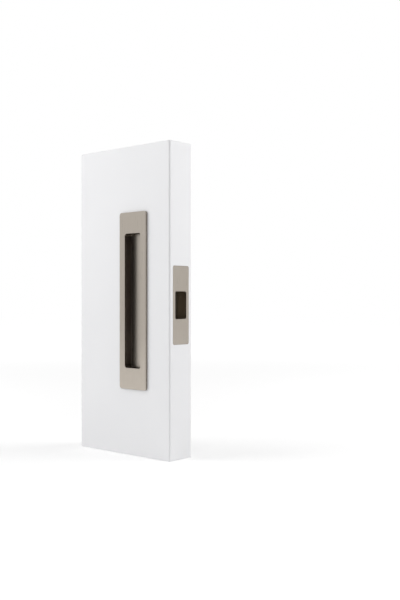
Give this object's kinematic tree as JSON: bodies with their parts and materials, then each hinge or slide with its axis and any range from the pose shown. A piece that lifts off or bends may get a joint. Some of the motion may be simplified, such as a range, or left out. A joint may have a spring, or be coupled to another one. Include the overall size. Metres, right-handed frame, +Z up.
{
  "type": "sliding door passage set on a sample block",
  "caption": "White sample of a sliding door's leading edge with long satin nickel flush pulls on its faces and a small edge pull.",
  "frame": {"origin": "middle of the sample block's foot", "axes": "+X along the door towards its leading edge, +Y through the leaf from the front face to the rear face, +Z up"},
  "size_m": [0.146, 0.041, 0.35],
  "materials": {
    "white_lacquer": "satin white lacquer on a fibreboard block",
    "satin_nickel": "satin nickel plate, fine lengthwise brushing",
    "zinc_frame": "bright zinc plated steel sheet",
    "spring_steel": "hardened strip, left grey",
    "plated_screw": "bright zinc plated"
  },
  "bodies": {
    "root": {"door_block": "white_lacquer", "front_pull": "satin_nickel", "front_frame": "zinc_frame", "front_clip_1": "spring_steel", "front_clip_2": "spring_steel", "front_clip_3": "spring_steel", "front_clip_4": "spring_steel", "rear_pull": "satin_nickel", "rear_frame": "zinc_frame", "rear_clip_1": "spring_steel", "rear_clip_2": "spring_steel", "rear_clip_3": "spring_steel", "rear_clip_4": "spring_steel", "through_screw_lower": "plated_screw", "sleeve_nut_lower": "plated_screw", "through_screw_upper": "plated_screw", "sleeve_nut_upper": "plated_screw", "edge_pull": "satin_nickel", "edge_frame": "zinc_frame", "edge_clip_lower": "spring_steel", "edge_screw_lower": "plated_screw", "edge_clip_upper": "spring_steel", "edge_screw_upper": "plated_screw"}
  },
  "joints": []
}
